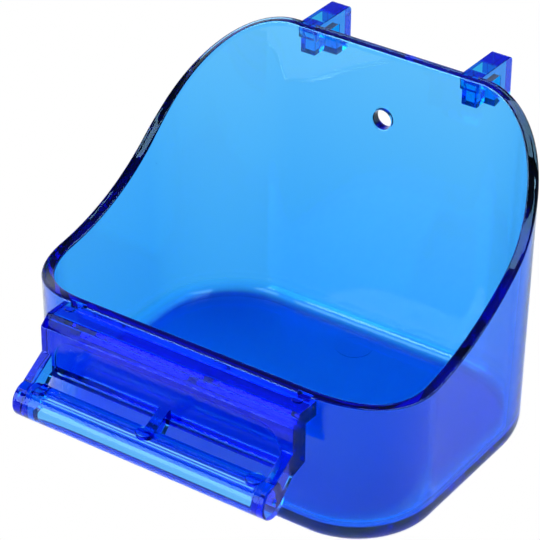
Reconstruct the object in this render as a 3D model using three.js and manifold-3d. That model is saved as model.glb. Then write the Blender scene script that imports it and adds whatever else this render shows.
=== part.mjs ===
// A hanging bird bath for a cage: a clear blue tub with a push-in perch and two push-in cage hooks.
// Millimetres, +Z up. +Y is the back, which hangs on the cage wires, and -Y is the perch side.
import * as THREE from 'three';
import { mergeVertices } from 'three/addons/utils/BufferGeometryUtils.js';
import Module from 'manifold-3d';

// Tub
const BASE_BACK_WIDTH = 127.5;
const BASE_FRONT_WIDTH = 129.1;
const BASE_DEPTH = 97.4;
const REAR_CORNER_RADIUS = 32.1;
const FRONT_CORNER_RADIUS = 25.3;
const WALL_AT_BACK_RIM = 2.7;
const FLOOR = 3.6;
const OUTER_DRAFT_DEG = 0.83;
const INNER_DRAFT_DEG = 1.66;
const BOTTOM_FILLET = 5.6;
const FLOOR_FILLET = 4.6;

// Rim, seen from the side: a straight slope down from the back, a wide dip, then a short rise to the lip
const BACK_HEIGHT = 98.3;
const SLOPE_DEG = 47.6;
const DIP_HEIGHT = 45.2;
const DIP_RADIUS = 80.5;
const LIP_RADIUS = 47.3;

// Round hole through the back wall
const HOLE_DIAMETER = 6;
const HOLE_HEIGHT = 76;

// Cage hooks
const HOOK_SPACING = 55.7;
const HOOK_WIDTH = 6.3;
const HOOK_SUNK = 0.3;
const HOOK_PLATE = 3.8;
const NEAR_LEG_THICKNESS = 4.9;
const NEAR_LEG_DROP = 9.6;
const NEAR_LEG_INSET = 0.6;
const ROOT_DROP = 4.2;
const ROOT_SLOPE = 1.1;
const WIRE_GAP = 5.6;
const FAR_LEG_THICKNESS = 6.4;
const FAR_LEG_DROP = 13.8;
const HOOK_CORNER_RADIUS = 1.6;

// Perch. Reaches are measured forward from the tub's front wall, drops down from the perch's own top.
const PERCH_WIDTH = 85.8;
const PERCH_SUNK = 0.3;
const SHELF_REACH = 7.6;
const SHELF_CHAMFER_REACH = 3.4;
const SHELF_CHAMFER_DROP = 3;
const SHELF_THICKNESS = 4.7;
const PLATE_THICKNESS = 6;
const PLATE_DROP = 18.6;
const PLATE_FOOT_RISE = 0.8;
const ARM_WIDTH = 3.6;
const END_ARM_TOP_DROP = 11.2;
const MIDDLE_ARM_TOP_DROP = 13.7;
const BAR_DIAMETER = 10.6;
const BAR_REACH = 24.9;
const BAR_DROP = 27.1;
const BAR_FLAT_CUT = 1.1;
const BAR_WALL = 2.2;
const BAR_END_WALL = 4.6;

// Dovetail tongues of the hooks and the perch, held in grooves in the outer half of the rim
const PERCH_TONGUE_SPACING = 77.2;
const TONGUE_WIDTH = 4;
const TONGUE_DEPTH = 1.3;
const DOVETAIL_FLARE = 0.5;
const GROOVE_DROP = 4.5;

// Running clearance between mating mouldings, and how far a cutter passes the face that it opens
const FIT_GAP = 0.3;
const CUT_PAST = 4;

// How finely curves are cut into straight steps
const REAR_CORNER_STEPS = 14;
const FRONT_CORNER_STEPS = 12;
const SIDE_STEPS = 8;
const FILLET_STEPS = 5;
const HOLE_STEPS = 32;
const CURVE_STEPS = 6;

const wasm = await Module();
wasm.setup();

// Solids: closed geometry to a solid for cutting and joining, and back

function toSolid(geometry) {
  const bare = geometry.clone();
  bare.deleteAttribute('normal');
  bare.deleteAttribute('uv');
  const merged = mergeVertices(bare);
  return new wasm.Manifold(new wasm.Mesh({
    numProp: 3,
    vertProperties: new Float32Array(merged.attributes.position.array),
    triVerts: new Uint32Array(merged.index.array),
  }));
}

function toGeometry(solid) {
  const { vertProperties, triVerts } = solid.getMesh();
  const geometry = new THREE.BufferGeometry();
  geometry.setAttribute('position', new THREE.BufferAttribute(vertProperties, 3));
  geometry.setIndex(new THREE.BufferAttribute(triVerts, 1));
  geometry.computeVertexNormals();
  return geometry;
}

const along = (x, y, z) => new THREE.Vector3(x, y, z);

// A side-view shape, with y to the right and z up, pushed along X from one place to another
function prismX(shape, from, to) {
  const geometry = new THREE.ExtrudeGeometry(shape, {
    depth: to - from, bevelEnabled: false, curveSegments: CURVE_STEPS,
  });
  geometry.applyMatrix4(new THREE.Matrix4().makeBasis(along(0, 1, 0), along(0, 0, 1), along(1, 0, 0)));
  return toSolid(geometry.translate(from, 0, 0));
}

// A front-view shape, with x to the right and z up, pushed along Y from one place to another
function prismY(shape, from, to) {
  const geometry = new THREE.ExtrudeGeometry(shape, {
    depth: to - from, bevelEnabled: false, curveSegments: CURVE_STEPS,
  });
  geometry.applyMatrix4(new THREE.Matrix4().makeBasis(along(1, 0, 0), along(0, 0, 1), along(0, -1, 0)));
  return toSolid(geometry.translate(0, to, 0));
}

// A plan-view shape pushed up from one height to another
function prismZ(shape, from, to) {
  const geometry = new THREE.ExtrudeGeometry(shape, {
    depth: to - from, bevelEnabled: false, curveSegments: CURVE_STEPS,
  });
  return toSolid(geometry.translate(0, 0, from));
}

const shapeOf = (points) => new THREE.Shape(points.map(([u, v]) => new THREE.Vector2(u, v)));

// Tub

const draft = Math.tan(THREE.MathUtils.degToRad(OUTER_DRAFT_DEG));
const innerDraft = Math.tan(THREE.MathUtils.degToRad(INNER_DRAFT_DEG));

// The inner faces lean more than the outer ones, so the wall is thickest at its foot
const wallAt = (z) => WALL_AT_BACK_RIM + (BACK_HEIGHT - z) * (innerDraft - draft);

// The outer faces of the back and front walls lean outwards as they rise
const backOuter = (z) => z * draft;
const frontOuter = (z) => -BASE_DEPTH - z * draft;

// Height of the rim over a place on the outer face, y forward from the foot of the back wall
function rimHeight(y) {
  const slope = THREE.MathUtils.degToRad(SLOPE_DEG);
  const slopeTop = backOuter(BACK_HEIGHT);
  const slopeEndHeight = DIP_HEIGHT + DIP_RADIUS * (1 - Math.cos(slope));
  const slopeEnd = slopeTop - (BACK_HEIGHT - slopeEndHeight) / Math.tan(slope);
  const dip = slopeEnd - DIP_RADIUS * Math.sin(slope);
  if (y > slopeEnd) return BACK_HEIGHT - Math.max(0, slopeTop - y) * Math.tan(slope);
  const radius = y > dip ? DIP_RADIUS : LIP_RADIUS;
  return DIP_HEIGHT + radius - Math.sqrt(radius ** 2 - (y - dip) ** 2);
}

// The rim height where the leaning wall meets it: three rounds settle the small change of y with height
function rimHeightOver(column) {
  let height = rimHeight(column.y);
  for (let round = 0; round < 3; round += 1) {
    height = rimHeight(column.y + column.ny * height * draft);
  }
  return height;
}

const FRONT_HEIGHT = rimHeightOver({ y: -BASE_DEPTH, ny: -1 });

// The splayed side line of the plan and its outward direction
const sideLean = Math.atan2((BASE_FRONT_WIDTH - BASE_BACK_WIDTH) / 2, BASE_DEPTH);
const sideAtBack = BASE_BACK_WIDTH / 2;

// Centre of a corner arc that touches the side line, at a given place along the depth
function cornerCentre(radius, y) {
  const sideX = sideAtBack - y * Math.tan(sideLean);
  return { x: sideX - radius / Math.cos(sideLean), y };
}

const rearCentre = cornerCentre(REAR_CORNER_RADIUS, -REAR_CORNER_RADIUS);
const frontCentre = cornerCentre(FRONT_CORNER_RADIUS, FRONT_CORNER_RADIUS - BASE_DEPTH);

// Places around the foot of the outer wall with their outward directions, anticlockwise from the front
function planColumns() {
  const right = [];
  const onArc = (centre, radius, angle) => right.push({
    x: centre.x + radius * Math.cos(angle),
    y: centre.y + radius * Math.sin(angle),
    nx: Math.cos(angle),
    ny: Math.sin(angle),
  });
  for (let step = 0; step <= FRONT_CORNER_STEPS; step += 1) {
    const angle = THREE.MathUtils.lerp(-Math.PI / 2, sideLean, step / FRONT_CORNER_STEPS);
    onArc(frontCentre, FRONT_CORNER_RADIUS, angle);
  }
  const sideStart = right.at(-1);
  const sideEnd = {
    x: rearCentre.x + REAR_CORNER_RADIUS * Math.cos(sideLean),
    y: rearCentre.y + REAR_CORNER_RADIUS * Math.sin(sideLean),
  };
  for (let step = 1; step < SIDE_STEPS; step += 1) {
    const share = step / SIDE_STEPS;
    right.push({
      x: THREE.MathUtils.lerp(sideStart.x, sideEnd.x, share),
      y: THREE.MathUtils.lerp(sideStart.y, sideEnd.y, share),
      nx: Math.cos(sideLean),
      ny: Math.sin(sideLean),
    });
  }
  for (let step = 0; step <= REAR_CORNER_STEPS; step += 1) {
    const angle = THREE.MathUtils.lerp(sideLean, Math.PI / 2, step / REAR_CORNER_STEPS);
    onArc(rearCentre, REAR_CORNER_RADIUS, angle);
  }
  const left = right.map(({ x, y, nx, ny }) => ({ x: -x, y, nx: -nx, ny })).reverse();
  return [...right, ...left];
}

// One closed skin: up the outside from the base, over the rim, and down the inside to the floor
function tubShell() {
  const columns = planColumns();
  const rows = [];
  const addRow = (insetAt, heightAt) => rows.push(columns.map((column) => {
    const z = heightAt(column);
    const out = z * draft - insetAt(z);
    return along(column.x + column.nx * out, column.y + column.ny * out, z);
  }));
  const quarterTurn = (step) => (Math.PI / 2) * (step / FILLET_STEPS);
  for (let step = 0; step <= FILLET_STEPS; step += 1) {
    const angle = quarterTurn(step);
    addRow(() => BOTTOM_FILLET * (1 - Math.sin(angle)), () => BOTTOM_FILLET * (1 - Math.cos(angle)));
  }
  addRow(() => 0, rimHeightOver);
  addRow(wallAt, rimHeightOver);
  for (let step = FILLET_STEPS; step >= 0; step -= 1) {
    const angle = quarterTurn(step);
    const inset = FLOOR_FILLET * (1 - Math.sin(angle));
    addRow((z) => wallAt(z) + inset, () => FLOOR + FLOOR_FILLET * (1 - Math.cos(angle)));
  }
  const count = columns.length;
  const index = [];
  for (let row = 0; row + 1 < rows.length; row += 1) {
    for (let i = 0; i < count; i += 1) {
      const a = row * count + i;
      const b = row * count + (i + 1) % count;
      index.push(a, b, b + count, a, b + count, a + count);
    }
  }
  const flat = rows[0].map(({ x, y }) => new THREE.Vector2(x, y));
  const floorStart = (rows.length - 1) * count;
  for (const [a, b, c] of THREE.ShapeUtils.triangulateShape(flat, [])) {
    index.push(a, c, b, floorStart + a, floorStart + b, floorStart + c);
  }
  const geometry = new THREE.BufferGeometry();
  const places = rows.flat().flatMap(({ x, y, z }) => [x, y, z]);
  geometry.setAttribute('position', new THREE.Float32BufferAttribute(places, 3));
  geometry.setIndex(index);
  return toSolid(geometry);
}

function hangingHole() {
  const wall = wallAt(HOLE_HEIGHT);
  const length = wall + 2 * CUT_PAST;
  const geometry = new THREE.CylinderGeometry(HOLE_DIAMETER / 2, HOLE_DIAMETER / 2, length, HOLE_STEPS);
  return toSolid(geometry.translate(0, backOuter(HOLE_HEIGHT) - wall / 2, HOLE_HEIGHT));
}

// The two stretches of rim that carry tongues: height, outer face, and which way that faces along Y
const backRim = { height: BACK_HEIGHT, face: backOuter(BACK_HEIGHT), outward: 1 };
const frontRim = { height: FRONT_HEIGHT, face: frontOuter(FRONT_HEIGHT), outward: -1 };

// Plan of a dovetail tongue, which widens from the rim's outer face to half way through the wall.
// Growing it and starting further outside gives the groove that holds it.
function dovetailPlan(rim, centreX, grow, outside) {
  const flarePerDepth = DOVETAIL_FLARE / TONGUE_DEPTH;
  const halfAt = (depth) => TONGUE_WIDTH / 2 + grow + depth * flarePerDepth;
  const inside = TONGUE_DEPTH + grow;
  const corners = [[-outside, 1], [-outside, -1], [inside, -1], [inside, 1]];
  return shapeOf(corners.map(([depth, side]) => [
    centreX + side * halfAt(depth), rim.face - rim.outward * depth,
  ]));
}

function groove(rim, centreX) {
  const plan = dovetailPlan(rim, centreX, FIT_GAP, CUT_PAST);
  return prismZ(plan, rim.height - GROOVE_DROP, rim.height + CUT_PAST);
}

// A tongue reaches from the floor of its groove to the top of the piece that it carries
function tongue(rim, centreX, top) {
  const plan = dovetailPlan(rim, centreX, 0, 2 * FIT_GAP);
  return prismZ(plan, rim.height - GROOVE_DROP + FIT_GAP, top);
}

const bothSides = (spacing) => [-spacing / 2, spacing / 2];
const hookCentres = bothSides(HOOK_SPACING);
const perchTongueCentres = bothSides(PERCH_TONGUE_SPACING);

function tub() {
  let solid = tubShell().subtract(hangingHole());
  for (const x of hookCentres) solid = solid.subtract(groove(backRim, x));
  for (const x of perchTongueCentres) solid = solid.subtract(groove(frontRim, x));
  return toGeometry(solid);
}

// Hooks

const hookTop = BACK_HEIGHT - HOOK_SUNK;
const nearLegFront = backRim.face + FIT_GAP;
const wireGapStart = nearLegFront + NEAR_LEG_THICKNESS;
const farLegStart = wireGapStart + WIRE_GAP;
const hookEnd = farLegStart + FAR_LEG_THICKNESS;

// Side view of the inverted U: near leg behind the wall, bridge over the wire, longer far leg
function hookSideView() {
  const bridge = hookTop - HOOK_PLATE;
  const nearFoot = hookTop - NEAR_LEG_DROP;
  const farFoot = hookTop - FAR_LEG_DROP;
  const shape = new THREE.Shape();
  shape.moveTo(nearLegFront, nearFoot);
  shape.lineTo(wireGapStart, nearFoot);
  shape.lineTo(wireGapStart, bridge);
  shape.lineTo(farLegStart, bridge);
  shape.lineTo(farLegStart, farFoot);
  shape.lineTo(hookEnd, farFoot);
  shape.lineTo(hookEnd, hookTop - HOOK_CORNER_RADIUS);
  const corner = [hookEnd - HOOK_CORNER_RADIUS, hookTop - HOOK_CORNER_RADIUS];
  shape.absarc(...corner, HOOK_CORNER_RADIUS, 0, Math.PI / 2);
  shape.lineTo(nearLegFront, hookTop);
  return shape;
}

// Strip that leaves the near leg narrower below its root, on the side of the hook that faces along +X or -X
function nearLegTrim(centreX, side) {
  const outer = centreX + side * (HOOK_WIDTH / 2 + CUT_PAST);
  const root = centreX + side * HOOK_WIDTH / 2;
  const inner = root - side * NEAR_LEG_INSET;
  const foot = hookTop - NEAR_LEG_DROP - CUT_PAST;
  const front = shapeOf([
    [outer, hookTop - ROOT_DROP],
    [root, hookTop - ROOT_DROP],
    [inner, hookTop - ROOT_DROP - ROOT_SLOPE],
    [inner, foot],
    [outer, foot],
  ]);
  return prismY(front, nearLegFront - CUT_PAST, (wireGapStart + farLegStart) / 2);
}

function hook(centreX) {
  let solid = prismX(hookSideView(), centreX - HOOK_WIDTH / 2, centreX + HOOK_WIDTH / 2);
  for (const side of [-1, 1]) solid = solid.subtract(nearLegTrim(centreX, side));
  return toGeometry(solid.add(tongue(backRim, centreX, hookTop)));
}

// Perch

const perchTop = FRONT_HEIGHT - PERCH_SUNK;
const perchHalf = PERCH_WIDTH / 2;

// A place in the perch's side view, from its reach in front of the wall and its drop below the perch's top
const perchAt = (reach, drop) => [frontRim.face - reach, perchTop - drop];

const plateFront = SHELF_REACH + SHELF_CHAMFER_REACH;
const plateBack = plateFront - PLATE_THICKNESS;
const barRadius = BAR_DIAMETER / 2;
const barCentreReach = BAR_REACH - barRadius;
const barCentreDrop = BAR_DROP - barRadius;
const barBore = barRadius - BAR_WALL;
const barFlatDrop = barCentreDrop - barRadius + BAR_FLAT_CUT;
const hollowHalf = perchHalf - BAR_END_WALL;

// Shelf level with the rim, and the plate that hangs from its chamfered front; its foot rises to the back
function shelfAndPlate() {
  const side = shapeOf([
    perchAt(FIT_GAP, 0),
    perchAt(FIT_GAP, SHELF_THICKNESS),
    perchAt(plateBack, SHELF_THICKNESS),
    perchAt(plateBack, PLATE_DROP - PLATE_FOOT_RISE),
    perchAt(plateFront, PLATE_DROP),
    perchAt(plateFront, SHELF_CHAMFER_DROP),
    perchAt(SHELF_REACH, 0),
  ]);
  return prismX(side, -perchHalf, perchHalf);
}

// Arm: starts inside the plate, slopes down from its front and ends over the middle of the bar
function arm(centreX, topDrop, endDrop) {
  const half = barRadius / 2;
  const root = plateFront - PLATE_THICKNESS / 2;
  const side = shapeOf([
    perchAt(root, topDrop),
    perchAt(root, PLATE_DROP - PLATE_FOOT_RISE / 2),
    perchAt(plateFront, PLATE_DROP),
    perchAt(barCentreReach - half, barCentreDrop + half),
    perchAt(barCentreReach, endDrop),
    perchAt(plateFront, topDrop),
  ]);
  return prismX(side, centreX - ARM_WIDTH / 2, centreX + ARM_WIDTH / 2);
}

function bar() {
  const shape = new THREE.Shape();
  shape.absarc(...perchAt(barCentreReach, barCentreDrop), barRadius, 0, Math.PI * 2);
  return prismX(shape, -perchHalf, perchHalf);
}

// Cutter for the flat along the top of the bar, between its round ends
function barFlat() {
  const above = barFlatDrop - BAR_FLAT_CUT - CUT_PAST;
  const side = shapeOf([
    perchAt(barCentreReach - barRadius, barFlatDrop),
    perchAt(barCentreReach + barRadius, barFlatDrop),
    perchAt(barCentreReach + barRadius, above),
    perchAt(barCentreReach - barRadius, above),
  ]);
  return prismX(side, -hollowHalf, hollowHalf);
}

// The bar is a moulded channel, open underneath between its solid ends
function barChannel() {
  const [y, z] = perchAt(barCentreReach, barCentreDrop);
  const channel = new THREE.Shape();
  channel.moveTo(y - barBore, z - barRadius - CUT_PAST);
  channel.lineTo(y + barBore, z - barRadius - CUT_PAST);
  channel.absarc(y, z, barBore, 0, Math.PI);
  return prismX(channel, -hollowHalf, hollowHalf);
}

function perch() {
  const roundDrop = barFlatDrop - BAR_FLAT_CUT;
  let solid = shelfAndPlate().add(bar().subtract(barFlat()));
  for (const x of bothSides(PERCH_WIDTH - ARM_WIDTH)) solid = solid.add(arm(x, END_ARM_TOP_DROP, roundDrop));
  solid = solid.add(arm(0, MIDDLE_ARM_TOP_DROP, barFlatDrop));
  for (const x of perchTongueCentres) solid = solid.add(tongue(frontRim, x, perchTop));
  return toGeometry(solid.subtract(barChannel()));
}

// Scene: the origin is under the middle of the whole object, at the tub's base

const clearBlue = (color) => new THREE.MeshStandardMaterial({ color, roughness: 0.12, metalness: 0 });

const part = new THREE.Group();
const [barFront] = perchAt(BAR_REACH, 0);
part.position.y = -(barFront + hookEnd) / 2;

function addPiece(name, geometry, color) {
  const mesh = new THREE.Mesh(geometry, clearBlue(color));
  mesh.name = name;
  part.add(mesh);
}

addPiece('tub', tub(), '#3f9bf7');
addPiece('perch', perch(), '#1d4fdc');
addPiece('hook_left', hook(hookCentres[0]), '#2a45d6');
addPiece('hook_right', hook(hookCentres[1]), '#2a45d6');

export default part;
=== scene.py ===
# %% [markdown]
# # A cage bird bath in clear blue plastic
#
# The real object is a set of injection mouldings in clear blue polystyrene: a tub, a perch that is pushed
# onto the tub's low front rim, and two hooks that go over the cage wires. Clear plastic gets its looks
# from its own thickness. Light that goes through one wall comes out sky blue, and light that runs along
# inside a wall comes out navy. So every piece here is a closed mesh with its real wall and rounded edges,
# and the finish takes light away inside the mesh instead of painting a colour on it.

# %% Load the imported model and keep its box
import math

import bmesh
import bpy
import numpy as np
from mathutils import Matrix, Vector


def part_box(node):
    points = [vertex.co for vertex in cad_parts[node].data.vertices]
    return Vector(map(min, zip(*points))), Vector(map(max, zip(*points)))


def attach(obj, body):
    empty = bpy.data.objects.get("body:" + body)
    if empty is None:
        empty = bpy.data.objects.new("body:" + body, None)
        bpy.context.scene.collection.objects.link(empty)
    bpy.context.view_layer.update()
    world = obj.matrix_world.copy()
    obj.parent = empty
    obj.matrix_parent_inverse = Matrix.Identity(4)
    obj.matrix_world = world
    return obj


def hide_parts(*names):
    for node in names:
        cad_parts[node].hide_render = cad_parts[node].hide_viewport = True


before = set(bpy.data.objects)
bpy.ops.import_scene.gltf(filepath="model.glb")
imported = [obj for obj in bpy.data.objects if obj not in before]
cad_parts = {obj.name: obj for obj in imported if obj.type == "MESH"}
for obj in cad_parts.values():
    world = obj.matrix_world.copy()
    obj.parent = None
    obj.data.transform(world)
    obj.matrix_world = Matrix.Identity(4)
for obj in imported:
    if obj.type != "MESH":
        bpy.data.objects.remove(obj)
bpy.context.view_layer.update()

# %% [markdown]
# ## Camera
#
# The photograph looks down into the tub from its front right. The camera below was matched to the tub's
# outline, its rim and its hooks, so the same features land on the same places in the picture. A long lens
# far away keeps the walls nearly parallel, as in a product photograph.

# %% Camera at the photograph's angle
MM = 0.001
LOOK_AT = Vector((-1.11, -4.88, 51.80)) * MM
CAMERA_DISTANCE = 778.8 * MM
CAMERA_LENS = 183.1
CAMERA_SENSOR = 36
CAMERA_TURN = math.radians(34.702)
CAMERA_RISE = math.radians(31.891)
CAMERA_ROLL = math.radians(0.466)

toward_camera = Vector((math.sin(CAMERA_TURN) * math.cos(CAMERA_RISE),
                        -math.cos(CAMERA_TURN) * math.cos(CAMERA_RISE), math.sin(CAMERA_RISE)))
level_right = Vector((math.cos(CAMERA_TURN), math.sin(CAMERA_TURN), 0))
camera_right = Matrix.Rotation(CAMERA_ROLL, 3, toward_camera) @ level_right
camera_up = toward_camera.cross(camera_right)

camera = bpy.data.objects.new("camera", bpy.data.cameras.new("camera"))
camera.data.lens = CAMERA_LENS
camera.data.sensor_width = CAMERA_SENSOR
camera.matrix_world = Matrix((camera_right, camera_up, toward_camera)).transposed().to_4x4()
camera.location = LOOK_AT + CAMERA_DISTANCE * toward_camera
bpy.context.scene.collection.objects.link(camera)
bpy.context.scene.camera = camera
print("camera at, mm:", [round(1000 * c) for c in camera.location])

# %% [markdown]
# ## Stage and light
#
# Clear plastic shows what is behind it and mirrors what is in front of it, so the room matters more than
# the lamps. This room is a white sweep under a dark ceiling. What is seen through the walls is the white
# sheet below, so they look light. Faces that look up mirror the ceiling, so the rim, the shelf and the
# tops of the hooks look navy. A softbox low at the front left lights the sheet and draws pale lines on
# the rounded edges. A strip light above it catches the sloping front edge of the shelf, and the dark gap
# between the two is what the sloping rim mirrors. A lamp high at the back right lights the floor of the
# tub.

# %% Small helpers for colours and nodes
def linear(web_colour):
    """A web colour turned to linear light, with full alpha."""
    channels = [int(web_colour[i:i + 2], 16) / 255 for i in (1, 3, 5)]
    return [c / 12.92 if c <= 0.04045 else ((c + 0.055) / 1.055) ** 2.4 for c in channels] + [1.0]


def put(tree, kind, inputs=None, **settings):
    """Adds a node with its settings; each input is a value, or a socket of another node to link from."""
    node = tree.nodes.new(kind)
    for name, value in settings.items():
        setattr(node, name, value)
    for socket, value in (inputs or {}).items():
        if isinstance(value, bpy.types.NodeSocket):
            tree.links.new(value, node.inputs[socket])
        else:
            node.inputs[socket].default_value = value
    return node


WHITE = "#ffffff"
print("white in linear light:", linear(WHITE)[:3])

# %% Room with a white horizon and a dark ceiling
CEILING_LEVEL = 0.06
WHITE_UP_TO = math.sin(math.radians(12))
DARK_FROM = math.sin(math.radians(31))
LIGHT_BOUNCES = 32

room = bpy.data.worlds.new("white_sweep_room")
bpy.context.scene.world = room
room.use_nodes = True
room.node_tree.nodes.clear()
way = put(room.node_tree, "ShaderNodeTexCoord").outputs["Generated"]
upward = put(room.node_tree, "ShaderNodeSeparateXYZ", {0: way}).outputs["Z"]
level = put(room.node_tree, "ShaderNodeMapRange", {
    "Value": upward, "From Min": WHITE_UP_TO, "From Max": DARK_FROM, "To Min": 1.0, "To Max": CEILING_LEVEL},
    interpolation_type="SMOOTHSTEP")
surround = put(room.node_tree, "ShaderNodeBackground", {"Color": linear(WHITE), "Strength": level.outputs[0]})
put(room.node_tree, "ShaderNodeOutputWorld", {"Surface": surround.outputs[0]})

# Rays turn round inside a clear wall many times before they leave it
cycles = bpy.context.scene.cycles
cycles.max_bounces = LIGHT_BOUNCES
cycles.glossy_bounces = LIGHT_BOUNCES
cycles.transmission_bounces = LIGHT_BOUNCES
cycles.blur_glossy = 0.0
bpy.context.scene.view_settings.view_transform = "Standard"
print("ceiling level:", CEILING_LEVEL)

# %% Sheet of white paper under the bath
FLOOR_SIZE = 1.6
FLOOR_GAP = 0.2 * MM
PAPER_COLOUR = "#fdfdfd"

half_floor = FLOOR_SIZE / 2
floor_mesh = bpy.data.meshes.new("floor")
floor_mesh.from_pydata([(x * half_floor, y * half_floor, -FLOOR_GAP) for x, y in
                        ((-1, -1), (1, -1), (1, 1), (-1, 1))], [], [(0, 1, 2, 3)])
floor = bpy.data.objects.new("floor", floor_mesh)
bpy.context.scene.collection.objects.link(floor)


def footprint_fade(tree, low, high, corner, fade_from, fade_to):
    """Nodes that rise from 0 on a round-cornered footprint to 1, between two distances from its core."""
    middle = (low + high) / 2
    core = (high - low) / 2 - Vector((corner, corner, 0))
    place = put(tree, "ShaderNodeTexCoord").outputs["Object"]
    offset = put(tree, "ShaderNodeVectorMath", {0: place, 1: (middle.x, middle.y, 0)}, operation="SUBTRACT")
    apart = put(tree, "ShaderNodeVectorMath", {0: offset.outputs[0]}, operation="ABSOLUTE")
    past_core = put(tree, "ShaderNodeVectorMath", {0: apart.outputs[0], 1: (core.x, core.y, 1)},
                    operation="SUBTRACT")
    outside = put(tree, "ShaderNodeVectorMath", {0: past_core.outputs[0], 1: (0, 0, 0)}, operation="MAXIMUM")
    reach = put(tree, "ShaderNodeVectorMath", {0: outside.outputs[0]}, operation="LENGTH")
    fade = put(tree, "ShaderNodeMapRange", {
        "Value": reach.outputs["Value"], "From Min": fade_from, "From Max": fade_to},
        interpolation_type="SMOOTHSTEP")
    return fade.outputs[0]


def matt_paper(name, *footprint):
    """Matt white paper that keeps a shadow on a footprint and is plain white further off."""
    material = bpy.data.materials.new(name)
    material.use_nodes = True
    tree = material.node_tree
    tree.nodes.clear()
    clear = footprint_fade(tree, *footprint)
    ray = put(tree, "ShaderNodeLightPath").outputs
    seen = put(tree, "ShaderNodeMath", {0: ray["Is Camera Ray"], 1: ray["Is Transmission Ray"]},
               operation="MAXIMUM")
    share = put(tree, "ShaderNodeMath", {0: seen.outputs[0], 1: clear}, operation="MULTIPLY")
    paper = put(tree, "ShaderNodeBsdfDiffuse", {"Color": linear(PAPER_COLOUR)})
    white = put(tree, "ShaderNodeEmission", {"Color": linear(WHITE), "Strength": 1.0})
    both = put(tree, "ShaderNodeMixShader", {0: share.outputs[0], 1: paper.outputs[0], 2: white.outputs[0]})
    put(tree, "ShaderNodeOutputMaterial", {"Surface": both.outputs[0]})
    return material


tub_low, tub_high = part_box("tub")
SHADOW_INSET = 7 * MM
SHADOW_CORNER = 25 * MM
SHADOW_FADE_FROM = 17 * MM
SHADOW_FADE_TO = 28.5 * MM
shadow_low = tub_low + Vector((0, SHADOW_INSET, 0))
shadow_high = tub_high - Vector((SHADOW_INSET, 0, 0))
floor_mesh.materials.append(matt_paper("matt_white_paper", shadow_low, shadow_high, SHADOW_CORNER,
                                       SHADOW_FADE_FROM, SHADOW_FADE_TO))
print("paper size, m:", FLOOR_SIZE)

# %% Softbox and strip light at the front left, top lamp at the back right
LAMP_DISTANCE = 1.2
LAMP_WIDTH = 0.95
FRONT_LEFT = Vector((-0.574, -0.819, 0))
BACK_RIGHT = Vector((0.707, 0.707, 0))
# Side, rise in degrees, height in metres and power in watts of each lamp
LAMPS = {
    "softbox": (FRONT_LEFT, 16, 0.8, 22),
    "strip_light": (FRONT_LEFT, 52.5, 0.33, 3.6),
    "top_lamp": (BACK_RIGHT, 63, 0.6, 6.5),
}


def lamp(name, side, rise, height, power):
    """A lamp of the shared width that faces the bath from one side, raised by an angle in degrees."""
    rise = math.radians(rise)
    light = bpy.data.objects.new(name, bpy.data.lights.new(name, "AREA"))
    light.data.shape = "RECTANGLE"
    light.data.size = LAMP_WIDTH
    light.data.size_y = height
    light.data.energy = power
    light.location = LAMP_DISTANCE * (math.cos(rise) * side + math.sin(rise) * Vector((0, 0, 1)))
    light.rotation_euler = (-light.location).to_track_quat("-Z", "Y").to_euler()
    bpy.context.scene.collection.objects.link(light)
    print(name, "height above the paper, mm:", round(1000 * light.location.z))


for name, settings in LAMPS.items():
    lamp(name, *settings)

# %% [markdown]
# ## Clear blue polystyrene
#
# The tub, perch and hooks are moulded in polystyrene with a blue dye. The dye is in the whole thickness,
# so the finish is a clear surface with an absorber inside. The absorber is set by one thing that can be
# seen: the colour that white light has after one wall. A polished mould leaves the surface very smooth,
# with a slow waviness where the melt cooled, a trace of haze, and a few tiny dark specks in the plastic.

# %% The plastic
STYRENE_IOR = 1.59
HAZE_SIZE = 5 * MM
HAZE_DETAIL = 3.0
SMOOTHEST = 0.01
HAZIEST = 0.04
WAVE_SIZE = 22 * MM
WAVE_DETAIL = 1.0
WAVE_HEIGHT = 0.008 * MM
SPECK_SPACING = 15 * MM
SPECK_RADIUS = 0.22 * MM
SPECK_COLOUR = "#0c1d6b"


def absorber(seen_through, thickness):
    """Density and colour of an absorber that turns white light into a colour over a thickness."""
    per_metre = [-math.log(channel) / thickness for channel in linear(seen_through)[:3]]
    density = max(per_metre)
    return density, [1 - loss / density for loss in per_metre] + [1.0]


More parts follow.
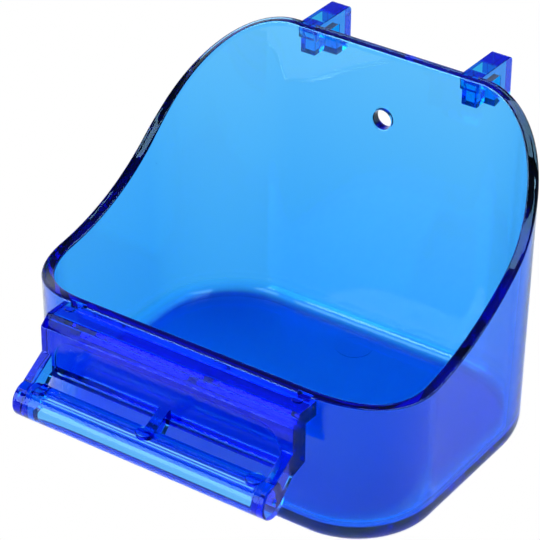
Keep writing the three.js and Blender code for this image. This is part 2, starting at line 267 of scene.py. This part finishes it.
def clear_polystyrene(name, seen_through, thickness, gloss):
    """Dyed clear polystyrene from a polished mould: glossy, and darker where light travels further."""
    material = bpy.data.materials.new(name)
    material.use_nodes = True
    tree = material.node_tree
    tree.nodes.clear()
    place = put(tree, "ShaderNodeTexCoord").outputs["Object"]
    haze = put(tree, "ShaderNodeTexNoise", {"Vector": place, "Scale": 1 / HAZE_SIZE, "Detail": HAZE_DETAIL})
    roughness = put(tree, "ShaderNodeMapRange", {
        "Value": haze.outputs[0], "To Min": SMOOTHEST, "To Max": HAZIEST})
    wave = put(tree, "ShaderNodeTexNoise", {"Vector": place, "Scale": 1 / WAVE_SIZE, "Detail": WAVE_DETAIL})
    ripple = put(tree, "ShaderNodeBump", {"Height": wave.outputs[0], "Distance": WAVE_HEIGHT})
    grain = put(tree, "ShaderNodeTexVoronoi", {"Vector": place, "Scale": 1 / SPECK_SPACING})
    speck = put(tree, "ShaderNodeMath", {0: grain.outputs["Distance"], 1: SPECK_RADIUS / SPECK_SPACING},
                operation="LESS_THAN")
    tint = put(tree, "ShaderNodeMix", {"Factor": speck.outputs[0], "A": linear(WHITE),
                                       "B": linear(SPECK_COLOUR)}, data_type="RGBA")
    surface = put(tree, "ShaderNodeBsdfPrincipled", {
        "Base Color": tint.outputs["Result"], "Roughness": roughness.outputs[0], "Normal": ripple.outputs[0],
        "IOR": STYRENE_IOR, "Specular Tint": linear(gloss), "Transmission Weight": 1.0})
    density, colour = absorber(seen_through, thickness)
    inside = put(tree, "ShaderNodeVolumeAbsorption", {"Color": colour, "Density": density})
    put(tree, "ShaderNodeOutputMaterial", {"Surface": surface.outputs[0], "Volume": inside.outputs[0]})
    print(name, "loses most of its red in", round(1000 / density, 2), "mm")
    return material


MIDDLE_WALL = 3.05 * MM
# White light after one middle wall of each piece, and the tint of the light that each mirrors
TUB_BLUE = "#5abefc"
PERCH_BLUE = "#4aa8f7"
HOOK_BLUE = "#55c9f8"
TUB_GLOSS = "#98d8ff"
SMALL_PIECE_GLOSS = "#587aaa"
tub_plastic = clear_polystyrene("clear_blue_polystyrene_tub", TUB_BLUE, MIDDLE_WALL, TUB_GLOSS)
perch_plastic = clear_polystyrene("clear_blue_polystyrene_perch", PERCH_BLUE, MIDDLE_WALL, SMALL_PIECE_GLOSS)
hook_plastic = clear_polystyrene("clear_blue_polystyrene_hooks", HOOK_BLUE, MIDDLE_WALL, SMALL_PIECE_GLOSS)

# %% [markdown]
# ## Tub
#
# The tub is one thin-walled shell: straight leaning walls with wide round corners, a tall back, sides
# that slope down in one line and a dip, and a low front. It could be a box that is bevelled and
# solidified, but the rim has to follow its own curve round the corners. So the plan is a list of columns
# round the foot of the wall, each with the direction it faces, and every ring of points is those columns
# moved in and up. One ring after another goes up the outside, over the rounded rim and down the inside.

# %% Plan of the tub and its rim line
DRAFT = math.tan(math.radians(0.83))
INNER_DRAFT = math.tan(math.radians(1.66))
WALL_AT_BACK_RIM = 2.7 * MM
BASE_DEPTH = 97.4 * MM
BASE_BACK_WIDTH = 127.5 * MM
BASE_FRONT_WIDTH = 129.1 * MM
REAR_CORNER = 32.1 * MM
FRONT_CORNER = 25.3 * MM
SLOPE = math.radians(47.6)
DIP_HEIGHT = 45.2 * MM
DIP_RADIUS = 80.5 * MM
LIP_RADIUS = 47.3 * MM
RIM_PASSES = 3

BACK_HEIGHT = tub_high.z
BACK_FOOT = tub_high.y - BACK_HEIGHT * DRAFT


def rim_height(y):
    """Height of the rim along the depth: a slope from the back, a wide dip, a short rise to the front."""
    slope_end_height = DIP_HEIGHT + DIP_RADIUS * (1 - math.cos(SLOPE))
    slope_end = tub_high.y - (BACK_HEIGHT - slope_end_height) / math.tan(SLOPE)
    dip = slope_end - DIP_RADIUS * math.sin(SLOPE)
    straight = BACK_HEIGHT - np.maximum(0, tub_high.y - y) * math.tan(SLOPE)
    radius = np.where(y > dip, DIP_RADIUS, LIP_RADIUS)
    curved = DIP_HEIGHT + radius - np.sqrt(np.maximum(0, radius ** 2 - (y - dip) ** 2))
    return np.where(y > slope_end, straight, curved)


def wall_at(height):
    """Thickness of the wall, which grows downwards because the inner face leans more than the outer one."""
    return WALL_AT_BACK_RIM + (BACK_HEIGHT - height) * (INNER_DRAFT - DRAFT)


side_lean = math.atan2((BASE_FRONT_WIDTH - BASE_BACK_WIDTH) / 2, BASE_DEPTH)


def corner_columns(radius, y, start, end, steps):
    """Columns round one corner: x, y and the outward direction of each."""
    side = BASE_BACK_WIDTH / 2 + (BACK_FOOT - y) * math.tan(side_lean)
    angle = np.linspace(start, end, steps + 1)
    outward = np.stack([np.cos(angle), np.sin(angle)], axis=1)
    centre = np.array([side - radius / math.cos(side_lean), y])
    return np.hstack([centre + radius * outward, outward])


def plan_columns(corner_steps=30, side_steps=36):
    """Columns all round the foot of the outer wall, anticlockwise from the right end of the flat front."""
    front_y = BACK_FOOT - BASE_DEPTH + FRONT_CORNER
    front = corner_columns(FRONT_CORNER, front_y, -math.pi / 2, side_lean, corner_steps)
    rear = corner_columns(REAR_CORNER, BACK_FOOT - REAR_CORNER, side_lean, math.pi / 2, corner_steps)
    share = np.linspace(0, 1, side_steps + 1)[1:-1, None]
    side = front[-1] * (1 - share) + rear[0] * share
    right = np.vstack([front, side, rear])
    left = (right * [-1, 1, -1, 1])[::-1]
    return np.vstack([right, left])


columns = plan_columns()
rim = rim_height(columns[:, 1])
# The walls lean, so the rim's height moves its place, which moves its height again by less each time
for _ in range(RIM_PASSES):
    rim = rim_height(columns[:, 1] + columns[:, 3] * rim * DRAFT)
print("columns:", len(columns), "front rim height, mm:", round(1000 * rim[0], 2))

# %% Shell of the tub
FLOOR_THICKNESS = 3.6 * MM
BOTTOM_FILLET = 5.6 * MM
FLOOR_FILLET = 4.6 * MM
RIM_OUTER_ROUND = 0.5 * MM
RIM_STEP_START = 1 * MM
RIM_STEP = 0.25 * MM
RIM_INNER_ROUND = 0.6 * MM
RIM_BEAD = 0.25 * MM
RIM_BEAD_FOOT = 1.6 * MM
RIM_BEAD_RUN_OUT = 0.6 * MM
FILLET_STEPS = 12
ROUND_STEPS = 5


def add_object(name, mesh):
    """A new object in the scene, at the origin, with this mesh."""
    piece = bpy.data.objects.new(name, mesh)
    bpy.context.scene.collection.objects.link(piece)
    return piece


def skin(name, rings):
    """One closed mesh over rings of points: quads between the rings and one face on each end."""
    count = len(rings[0])
    faces = []
    for start in range(0, (len(rings) - 1) * count, count):
        for i in range(count):
            j = (i + 1) % count
            faces.append((start + i, start + j, start + count + j, start + count + i))
    faces.append(tuple(reversed(range(count))))
    faces.append(tuple(range((len(rings) - 1) * count, len(rings) * count)))
    mesh = bpy.data.meshes.new(name)
    mesh.from_pydata(np.vstack(rings).tolist(), [], faces)
    return add_object(name, mesh)


def tub_ring(inset, height):
    """The columns moved in from the leaning outer face by an inset, at a height for each."""
    height = np.broadcast_to(height, rim.shape)
    out = (height * DRAFT - inset)[:, None]
    return np.column_stack([columns[:, :2] + columns[:, 2:] * out, height])


def quarter(steps):
    """Sine and cosine at even steps of a quarter turn."""
    return [(math.sin(a), math.cos(a)) for a in np.linspace(0, math.pi / 2, steps + 1)]


rings = [tub_ring(BOTTOM_FILLET * (1 - s), BOTTOM_FILLET * (1 - c)) for s, c in quarter(FILLET_STEPS)]
rings += [tub_ring(RIM_OUTER_ROUND * (1 - c), rim - RIM_OUTER_ROUND * (1 - s))
          for s, c in quarter(ROUND_STEPS)]
rings.append(tub_ring(RIM_STEP_START, rim))
rings.append(tub_ring(RIM_STEP_START + RIM_STEP, rim - RIM_STEP))
bead = wall_at(rim) + RIM_BEAD
rings += [tub_ring(bead - RIM_INNER_ROUND * (1 - s), rim - RIM_STEP - RIM_INNER_ROUND * (1 - c))
          for s, c in quarter(ROUND_STEPS)]
rings.append(tub_ring(bead, rim - RIM_BEAD_FOOT))
rings.append(tub_ring(wall_at(rim), rim - RIM_BEAD_FOOT - RIM_BEAD_RUN_OUT))
for s, c in quarter(FILLET_STEPS):
    height = FLOOR_THICKNESS + FLOOR_FILLET * (1 - s)
    rings.append(tub_ring(wall_at(height) + FLOOR_FILLET * (1 - c), height))
tub = skin("bath_tub", rings)
print("tub faces:", len(tub.data.polygons))

# %% [markdown]
# ## Cutting and joining
#
# Moulded pieces are blocks and plates that run into each other without seams. In clear plastic a hidden
# overlap would show, because light bends at every surface. So the blocks of a piece are joined into one
# skin with the Boolean modifier. Each block has its edges rounded first, and reaches far enough into its
# neighbour that no rounded edge is left at the join.

# %% Tools for solid pieces
MILLILITRES = 1e6
PLACE = {"X": lambda u, v, w: (w, u, v), "Y": lambda u, v, w: (u, w, v), "Z": lambda u, v, w: (u, v, w)}


def settle(piece):
    """Turns a piece with modifiers into a piece with a plain mesh."""
    evaluated = piece.evaluated_get(bpy.context.evaluated_depsgraph_get())
    mesh = bpy.data.meshes.new_from_object(evaluated)
    piece.modifiers.clear()
    piece.data = mesh
    return piece


def combine(piece, tool, operation="UNION"):
    """Joins a tool to a piece, cuts it away or keeps the overlap; the tool is used up."""
    boolean = piece.modifiers.new("combine", "BOOLEAN")
    boolean.operation = operation
    boolean.solver = "MANIFOLD"
    boolean.object = tool
    settle(piece)
    bpy.data.objects.remove(tool)
    return piece


def round_edges(piece, width, segments=3, least_turn=math.radians(25)):
    """Rounds every edge of a piece where its faces turn by more than an angle."""
    mesh = bmesh.new()
    mesh.from_mesh(piece.data)
    mesh.normal_update()
    corners = [edge for edge in mesh.edges
               if len(edge.link_faces) == 2 and edge.calc_face_angle() > least_turn]
    bmesh.ops.bevel(mesh, geom=corners, offset=width, segments=segments, profile=0.5, affect="EDGES",
                    clamp_overlap=True)
    mesh.to_mesh(piece.data)
    mesh.free()
    return piece


def prism(name, outline, low, high, axis, edge=0.0):
    """A flat outline pushed along an axis from one place to another, with rounded edges if asked."""
    mesh = bmesh.new()
    place = PLACE[axis]
    ends = [[mesh.verts.new(place(u, v, w)) for u, v in outline] for w in (low, high)]
    mesh.faces.new(ends[0])
    mesh.faces.new(ends[1])
    for i in range(len(outline)):
        j = (i + 1) % len(outline)
        mesh.faces.new((ends[0][i], ends[0][j], ends[1][j], ends[1][i]))
    bmesh.ops.recalc_face_normals(mesh, faces=mesh.faces)
    data = bpy.data.meshes.new(name)
    mesh.to_mesh(data)
    mesh.free()
    piece = add_object(name, data)
    return round_edges(piece, edge) if edge else piece


def arc(centre, radius, start, end, steps):
    """Points along an arc between two angles in degrees, both ends included."""
    angles = np.radians(np.linspace(start, end, steps + 1))
    return [(centre[0] + radius * math.cos(a), centre[1] + radius * math.sin(a)) for a in angles]


def circle(centre, radius, sides):
    """Points round a circle, without the first one again at the end."""
    return arc(centre, radius, 0, 360 - 360 / sides, sides - 1)


def box(low, high):
    """Corners of a flat box, anticlockwise."""
    return [low, (high[0], low[1]), high, (low[0], high[1])]


def measure(piece):
    """Prints what a solid piece came to, and stops if its skin is open anywhere."""
    mesh = bmesh.new()
    mesh.from_mesh(piece.data)
    open_edges = [edge for edge in mesh.edges if len(edge.link_faces) != 2]
    volume = mesh.calc_volume(signed=True) * MILLILITRES
    mesh.free()
    print(piece.name, "faces:", len(piece.data.polygons), "volume, ml:", round(volume, 2))
    assert not open_edges and volume > 0, f"{piece.name} isn't one closed skin"


CUT_PAST = 4 * MM
measure(tub)

# %% [markdown]
# ## Openings and marks in the tub
#
# The back wall has a round hole with a softened edge for a peg or a tie. The outer half of the rim has a
# dovetail groove for each hook and for each of the perch's two tongues. The round mark of the mould's
# ejector pin is a disc that stands a hair above the floor.

# %% Hole and grooves
HOLE_RADIUS = 3 * MM
HOLE_HEIGHT = 76 * MM
HOLE_SOFT_EDGE = 0.5 * MM
HOLE_EDGE_STEPS = 4
HOOK_SPACING = 55.7 * MM
PERCH_TONGUE_SPACING = 77.2 * MM
GROOVE_DROP = 4.5 * MM
TONGUE_WIDTH = 4 * MM
TONGUE_DEPTH = 1.3 * MM
DOVETAIL_FLARE = 0.5 * MM
FIT_GAP = 0.12 * MM

_, perch_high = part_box("perch")
hook_centres = {"hook_left": -HOOK_SPACING / 2, "hook_right": HOOK_SPACING / 2}
perch_tongues = (-PERCH_TONGUE_SPACING / 2, PERCH_TONGUE_SPACING / 2)
FRONT_FACE = tub_low.y
FRONT_HEIGHT = rim[0]


def turned(name, profile, centre, steps=48):
    """A round solid about a line along Y: each profile point is a radius and a distance along the line."""
    angles = np.linspace(0, 2 * math.pi, steps, endpoint=False)
    rings = [np.column_stack([centre[0] + r * np.sin(angles), np.full(steps, centre[1] + d),
                              centre[2] + r * np.cos(angles)]) for r, d in profile]
    return skin(name, rings)


def hole_cutter():
    """A round cutter that flares where it leaves each face of the back wall."""
    outer = BACK_FOOT + HOLE_HEIGHT * DRAFT
    flared = HOLE_RADIUS + HOLE_SOFT_EDGE
    half = wall_at(HOLE_HEIGHT) / 2
    profile = [(flared + CUT_PAST, -half - CUT_PAST), (flared, -half)]
    profile += [(flared - HOLE_SOFT_EDGE * s, -half + HOLE_SOFT_EDGE * (1 - c))
                for s, c in quarter(HOLE_EDGE_STEPS)[1:]]
    profile += [(r, -d) for r, d in reversed(profile)]
    return turned("hole_cutter", profile, (0, outer - half, HOLE_HEIGHT))


def dovetail(centre_x, face, outward, grow, outside):
    """Plan of a tongue that widens into a wall; grown and started further out, it is the groove."""
    flare = DOVETAIL_FLARE / TONGUE_DEPTH
    inside = TONGUE_DEPTH + grow
    corners = [(-1, -outside), (1, -outside), (1, inside), (-1, inside)]
    return [(centre_x + side * (TONGUE_WIDTH / 2 + grow + depth * flare), face - outward * depth)
            for side, depth in corners]


def groove(centre_x, face, outward, rim_top):
    """Cutter for the groove that a tongue slides down into."""
    plan = dovetail(centre_x, face, outward, FIT_GAP, CUT_PAST)
    return prism("groove", plan, rim_top - GROOVE_DROP, rim_top + CUT_PAST, "Z")


def tongue(centre_x, face, outward, rim_top, top, outside):
    """A tongue from just above the floor of its groove to the top of the piece that it carries."""
    plan = dovetail(centre_x, face, outward, 0, outside)
    return prism("tongue", plan, rim_top - GROOVE_DROP + FIT_GAP, top, "Z")


combine(tub, hole_cutter(), "DIFFERENCE")
for centre_x in hook_centres.values():
    combine(tub, groove(centre_x, tub_high.y, 1, BACK_HEIGHT), "DIFFERENCE")
for centre_x in perch_tongues:
    combine(tub, groove(centre_x, FRONT_FACE, -1, FRONT_HEIGHT), "DIFFERENCE")
measure(tub)

# %% Pin mark on the floor
PIN_RADIUS = 5.5 * MM
PIN_PROUD = 0.12 * MM
PIN_SUNK = 0.5 * MM
PIN_SIDES = 48
PIN_AT = (1 * MM, BACK_FOOT - 15 * MM)
floor_pin = circle(PIN_AT, PIN_RADIUS, PIN_SIDES)
combine(tub, prism("floor_pin", floor_pin, FLOOR_THICKNESS - PIN_SUNK, FLOOR_THICKNESS + PIN_PROUD, "Z"))
measure(tub)

# %% [markdown]
# ## Shading of moulded faces
#
# A moulding has flat faces between rounded edges. Plain smooth shading would bend the light of a flat
# face towards its edges, which shows at once in clear plastic. Edges that turn sharply are marked sharp,
# and the Weighted Normal modifier lets the large faces decide the normals, so flats stay flat and the
# small rounds carry the turn.

# %% Finish and body of a piece, in place of its imported solid
SHARP_TURN = math.radians(35)


def finish_piece(piece, material, node, body):
    """Gives a piece its finish and shading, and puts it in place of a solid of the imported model."""
    piece.data.materials.clear()
    piece.data.materials.append(material)
    piece.data.polygons.foreach_set("material_index", [0] * len(piece.data.polygons))
    piece.data.shade_smooth()
    piece.data.set_sharp_from_angle(angle=SHARP_TURN)
    even = piece.modifiers.new("even_shading", "WEIGHTED_NORMAL")
    even.keep_sharp = True
    settle(piece)
    measure(piece)
    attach(piece, body)
    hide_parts(node)


finish_piece(tub, tub_plastic, "tub", "tub")

# %% [markdown]
# ## Hooks
#
# Each hook is an inverted U: a short leg behind the wall, a bridge over the cage wire and a longer leg
# behind it. The side view is one outline pushed across the hook's width, so the faces run through without
# joins. The near leg is a little narrower below its root. A dovetail tongue holds the hook in its groove.

# %% Two hooks
HOOK_WIDTH = 6.3 * MM
HOOK_PLATE = 3.8 * MM
NEAR_LEG_THICKNESS = 4.9 * MM
NEAR_LEG_DROP = 9.6 * MM
NEAR_LEG_INSET = 0.6 * MM
ROOT_DROP = 4.2 * MM
ROOT_SLOPE = 1.1 * MM
FAR_LEG_THICKNESS = 6.4 * MM
HOOK_CORNER = 1.6 * MM
HOOK_CORNER_STEPS = 8
HOOK_EDGE = 0.35 * MM


def near_leg_trim(centre_x, side, top):
    """Front view of the strip that leaves the near leg narrower below its root, on one side of the hook."""
    root = centre_x + side * HOOK_WIDTH / 2
    outer, inner = root + side * CUT_PAST, root - side * NEAR_LEG_INSET
    foot = top - NEAR_LEG_DROP - CUT_PAST
    return [(outer, top - ROOT_DROP), (root, top - ROOT_DROP), (inner, top - ROOT_DROP - ROOT_SLOPE),
            (inner, foot), (outer, foot)]


def cage_hook(node, centre_x):
    """One hook, from the box of its solid and its own sizes."""
    low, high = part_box(node)
    top, end = high.z, high.y
    near_front = tub_high.y + FIT_GAP
    gap_start = near_front + NEAR_LEG_THICKNESS
    far_start = end - FAR_LEG_THICKNESS
    bridge = top - HOOK_PLATE
    side_view = [(near_front, top - NEAR_LEG_DROP), (gap_start, top - NEAR_LEG_DROP), (gap_start, bridge),
                 (far_start, bridge), (far_start, low.z), (end, low.z)]
    side_view += arc((end - HOOK_CORNER, top - HOOK_CORNER), HOOK_CORNER, 0, 90, HOOK_CORNER_STEPS)
    side_view.append((near_front, top))
    half = HOOK_WIDTH / 2
    hook = prism("cage_" + node, side_view, centre_x - half, centre_x + half, "X")
    for side in (-1, 1):
        trim = prism("trim", near_leg_trim(centre_x, side, top), near_front - CUT_PAST,
                     (gap_start + far_start) / 2, "Y")
        combine(hook, trim, "DIFFERENCE")
    round_edges(hook, HOOK_EDGE)
    return combine(hook, tongue(centre_x, tub_high.y, 1, BACK_HEIGHT, top, 2 * FIT_GAP + HOOK_EDGE))


for node, centre_x in hook_centres.items():
    finish_piece(cage_hook(node, centre_x), hook_plastic, node, node)

# %% [markdown]
# ## Perch
#
# The perch is one moulding. A shelf lies level with the front rim, and a thick plate hangs from the
# shelf's sloping front edge, with a shallow panel in its face. Three arms carry the bar to perch on.
# Each end is a bracket that is one outline: shelf, plate and arm in one. The places are given in
# millimetres, as a reach forward from the wall and a drop below the shelf.

# %% Shelf, plate and brackets
WALL_GAP = FIT_GAP / MM
SHELF_REACH = 7.6
SHELF_CHAMFER_REACH = 3.4
SHELF_CHAMFER_DROP = 3
SHELF_THICKNESS = 4.7
PLATE_THICKNESS = 6
PLATE_DROP = 18.6
PLATE_FOOT_RISE = 1.6
ARM_WIDTH = 3.6 * MM
END_ARM_TOP = 11.2
MIDDLE_ARM_TOP = 13.7
BAR_RADIUS = 5.3
BAR_CENTRE = (19.6, 21.8)
BAR_FLAT_CUT = 1.1
ARM_TIP_SUNK = 0.15
PERCH_EDGE = 0.3 * MM

PERCH_TOP = perch_high.z
PERCH_HALF = perch_high.x
plate_front = SHELF_REACH + SHELF_CHAMFER_REACH
plate_back = plate_front - PLATE_THICKNESS
arm_root = plate_front - PLATE_THICKNESS / 2


def perch_view(places):
    """A side view of the perch in metres, from reaches and drops in millimetres."""
    return [(FRONT_FACE - reach * MM, PERCH_TOP - drop * MM) for reach, drop in places]


round_drop = BAR_CENTRE[1] - BAR_RADIUS
flat_drop = round_drop + BAR_FLAT_CUT
arm_foot = (BAR_CENTRE[0] - BAR_RADIUS / 2, BAR_CENTRE[1] + BAR_RADIUS / 2)
back_and_foot = [(WALL_GAP, 0), (WALL_GAP, SHELF_THICKNESS), (plate_back, SHELF_THICKNESS),
                 (plate_back, PLATE_DROP - PLATE_FOOT_RISE), (plate_front, PLATE_DROP)]
front_and_top = [(plate_front, SHELF_CHAMFER_DROP), (SHELF_REACH, 0)]
shelf_view = perch_view(back_and_foot + front_and_top)
end_arm = [arm_foot, (BAR_CENTRE[0], round_drop + ARM_TIP_SUNK), (plate_front, END_ARM_TOP)]
bracket_view = perch_view(back_and_foot + end_arm + front_and_top)
middle_arm_view = perch_view([
    (arm_root, MIDDLE_ARM_TOP), (arm_root, PLATE_DROP - PLATE_FOOT_RISE / 2), (plate_front, PLATE_DROP),
    arm_foot, (BAR_CENTRE[0], flat_drop + ARM_TIP_SUNK), (plate_front, MIDDLE_ARM_TOP)])
print("plate thickness, mm:", PLATE_THICKNESS)

# %% Panel in the plate
PANEL_DEPTH = 0.7 * MM
PANEL_HALF = 38.4 * MM
PANEL_TOP = 5.0 * MM
PANEL_FOOT = 17.0 * MM
PANEL_TOP_CORNER = 7 * MM
PANEL_TOP_STEPS = 12
PANEL_FOOT_CORNER = 2 * MM
PANEL_FOOT_STEPS = 6

upper, lower = PERCH_TOP - PANEL_TOP, PERCH_TOP - PANEL_FOOT
right_side = arc((PANEL_HALF - PANEL_FOOT_CORNER, lower + PANEL_FOOT_CORNER), PANEL_FOOT_CORNER, -90, 0,
                 PANEL_FOOT_STEPS)
right_side += arc((PANEL_HALF - PANEL_TOP_CORNER, upper - PANEL_TOP_CORNER), PANEL_TOP_CORNER, 0, 90,
                  PANEL_TOP_STEPS)
panel_view = right_side + [(-x, z) for x, z in reversed(right_side)]
panel_floor = FRONT_FACE - plate_front * MM + PANEL_DEPTH

buried = PERCH_HALF - ARM_WIDTH / 2
perch = prism("push_in_perch", shelf_view, -buried, buried, "X", PERCH_EDGE)
panel = prism("panel", panel_view, panel_floor - CUT_PAST, panel_floor, "Y", PERCH_EDGE)
combine(perch, panel, "DIFFERENCE")
for side in (-1, 1):
    inner, outer = sorted((side * (PERCH_HALF - ARM_WIDTH), side * PERCH_HALF))
    combine(perch, prism("bracket", bracket_view, inner, outer, "X", PERCH_EDGE))
combine(perch, prism("middle_arm", middle_arm_view, -ARM_WIDTH / 2, ARM_WIDTH / 2, "X", PERCH_EDGE))
measure(perch)

# %% [markdown]
# ## Bar, ribs and pads
#
# The bar is round with a flat along its top, between its ends. Thin ribs run along the flat for grip, and
# three round pads stand on it: one over the middle arm and one beside each end. The shelf has a fine
# ridge and a small stud over each tongue, and each end of the bar has a dimple. Each of these is a row of
# the same cylinder, so one Geometry Nodes tree sets a cylinder on every point of a line. Its inputs are
# the count, the step, the cylinder's size and tilt, and the place of the row's middle.

# %% Node tree of a row of cylinders
CYLINDER_SIDES = 40


def row_tree(sizes):
    """A tree with a named input for each size: a row of cylinders, one on each point of a line."""
    tree = bpy.data.node_groups.new("row_of_cylinders", "GeometryNodeTree")
    tree.interface.new_socket("Geometry", in_out="OUTPUT", socket_type="NodeSocketGeometry")
    for label in sizes:
        kind = "NodeSocketInt" if label == "Count" else "NodeSocketFloat"
        tree.interface.new_socket(label, in_out="INPUT", socket_type=kind)
    given = put(tree, "NodeGroupInput").outputs
    step = put(tree, "ShaderNodeCombineXYZ", {"X": given["Step X"], "Y": given["Step Y"]})
    middle = put(tree, "ShaderNodeCombineXYZ", {"Y": given["Place Y"], "Z": given["Place Z"]})
    steps = put(tree, "ShaderNodeMath", {0: given["Count"], 1: 1.0}, operation="SUBTRACT")
    half = put(tree, "ShaderNodeMath", {0: steps.outputs[0], 1: -0.5}, operation="MULTIPLY")
    back = put(tree, "ShaderNodeVectorMath", {0: step.outputs[0], "Scale": half.outputs[0]},
               operation="SCALE")
    start = put(tree, "ShaderNodeVectorMath", {0: middle.outputs[0], 1: back.outputs[0]}, operation="ADD")
    line = put(tree, "GeometryNodeMeshLine", {"Count": given["Count"], "Start Location": start.outputs[0],
                                              "Offset": step.outputs[0]})
    solid = put(tree, "GeometryNodeMeshCylinder", {"Vertices": CYLINDER_SIDES, "Radius": given["Radius"],
                                                   "Depth": given["Length"]})
    tilt = put(tree, "ShaderNodeCombineXYZ", {"Y": given["Tilt"]})
    row = put(tree, "GeometryNodeInstanceOnPoints", {"Points": line.outputs[0], "Instance": solid.outputs[0],
                                                     "Rotation": tilt.outputs[0]})
    real = put(tree, "GeometryNodeRealizeInstances", {"Geometry": row.outputs[0]})
    dressed = put(tree, "GeometryNodeSetMaterial", {"Geometry": real.outputs[0], "Material": perch_plastic})
    put(tree, "NodeGroupOutput", {0: dressed.outputs[0]})
    return tree


def grow(name, tree, sizes):
    """Runs a tree with these sizes on an empty mesh and keeps the result as a plain mesh."""
    piece = add_object(name, bpy.data.meshes.new(name))
    nodes = piece.modifiers.new("nodes", "NODES")
    nodes.node_group = tree
    for item in tree.interface.items_tree:
        if item.in_out == "INPUT":
            nodes[item.identifier] = sizes[item.name]
    return settle(piece)


# %% Ribs, pads, ridge, studs and dimples
BAR_END_WALL = 4.6 * MM
RIB_RADIUS = 0.5 * MM
RIB_SPACING = 3.1 * MM
RIB_MIDDLE = 20.4
RIB_SUNK = 0.3
PAD_RADIUS = 2.7 * MM
PAD_HEIGHT = 2.4 * MM
PAD_SPACING = 36.6 * MM
RIDGE_RADIUS = 0.35 * MM
RIDGE_LENGTH = 72 * MM
RIDGE_REACH = 2.6
RIDGE_SUNK = 0.2
STUD_RADIUS = 1.6 * MM
STUD_HEIGHT = 1.8 * MM
STUD_REACH = 2.9
STUD_SUNK = 0.5
DIMPLE_RADIUS = 0.9 * MM
DIMPLE_LENGTH = 1.2 * MM
SOFT_EDGE = 0.2 * MM
UPRIGHT = 0.0
ALONG_BAR = math.pi / 2

bar_length = 2 * PERCH_HALF
hollow = PERCH_HALF - BAR_END_WALL


def row(count, step_x, step_y, radius, length, tilt, place):
    """Named sizes of a row of cylinders in metres; its place is a reach and a drop in millimetres."""
    y, z = perch_view([place])[0]
    return {"Count": count, "Step X": step_x, "Step Y": step_y, "Radius": radius, "Length": length,
            "Tilt": tilt, "Place Y": y, "Place Z": z}


rib_row = row(2, 0.0, RIB_SPACING, RIB_RADIUS, 2 * hollow, ALONG_BAR, (RIB_MIDDLE, flat_drop + RIB_SUNK))
pad_row = row(3, PAD_SPACING, 0.0, PAD_RADIUS, PAD_HEIGHT, UPRIGHT, (BAR_CENTRE[0], flat_drop))
ridge_row = row(1, 0.0, 0.0, RIDGE_RADIUS, RIDGE_LENGTH, ALONG_BAR, (RIDGE_REACH, RIDGE_SUNK))
stud_row = row(2, PERCH_TONGUE_SPACING, 0.0, STUD_RADIUS, STUD_HEIGHT, UPRIGHT, (STUD_REACH, STUD_SUNK))
dimple_row = row(2, bar_length, 0.0, DIMPLE_RADIUS, DIMPLE_LENGTH, ALONG_BAR, BAR_CENTRE)
tree = row_tree(rib_row)
raised = [grow("ribs", tree, rib_row), grow("ridge", tree, ridge_row)]
raised.append(round_edges(grow("pads", tree, pad_row), SOFT_EDGE, segments=1))
raised.append(round_edges(grow("studs", tree, stud_row), SOFT_EDGE, segments=1))
dimples = grow("dimples", tree, dimple_row)
for piece in raised:
    measure(piece)

# %% [markdown]
# ## The perch put together
#
# The bar is cored from below between its solid ends, as mouldings are, to keep the plastic thin. Two
# tongues on the back of the shelf slide down into the grooves of the front rim.

# %% Bar, rows, tongues and channel
BAR_WALL = 2.2
BAR_SIDES = 72
BAR_EDGE = 0.6 * MM
BAR_END_TURN = math.radians(60)
CHANNEL_EDGE = 0.4 * MM
CHANNEL_STEPS = 24

bar_y, bar_z = perch_view([BAR_CENTRE])[0]
bar_view = circle((bar_y, bar_z), BAR_RADIUS * MM, BAR_SIDES)
flat_view = perch_view(box((BAR_CENTRE[0] - BAR_RADIUS, round_drop - BAR_FLAT_CUT),
                           (BAR_CENTRE[0] + BAR_RADIUS, flat_drop)))
bore = (BAR_RADIUS - BAR_WALL) * MM
channel_foot = bar_z - BAR_RADIUS * MM - CUT_PAST
channel_view = [(bar_y - bore, channel_foot), (bar_y + bore, channel_foot)]
channel_view += arc((bar_y, bar_z), bore, 0, 180, CHANNEL_STEPS)

bar = prism("bar", bar_view, -PERCH_HALF, PERCH_HALF, "X")
round_edges(bar, BAR_EDGE, least_turn=BAR_END_TURN)
combine(perch, combine(bar, prism("flat", flat_view, -hollow, hollow, "X"), "DIFFERENCE"))
for piece in raised:
    combine(perch, piece)
for centre_x in perch_tongues:
    combine(perch, tongue(centre_x, FRONT_FACE, -1, FRONT_HEIGHT, PERCH_TOP, 2 * FIT_GAP + PERCH_EDGE))
combine(perch, prism("channel", channel_view, -hollow, hollow, "X", CHANNEL_EDGE), "DIFFERENCE")
combine(perch, dimples, "DIFFERENCE")
finish_piece(perch, perch_plastic, "perch", "perch")
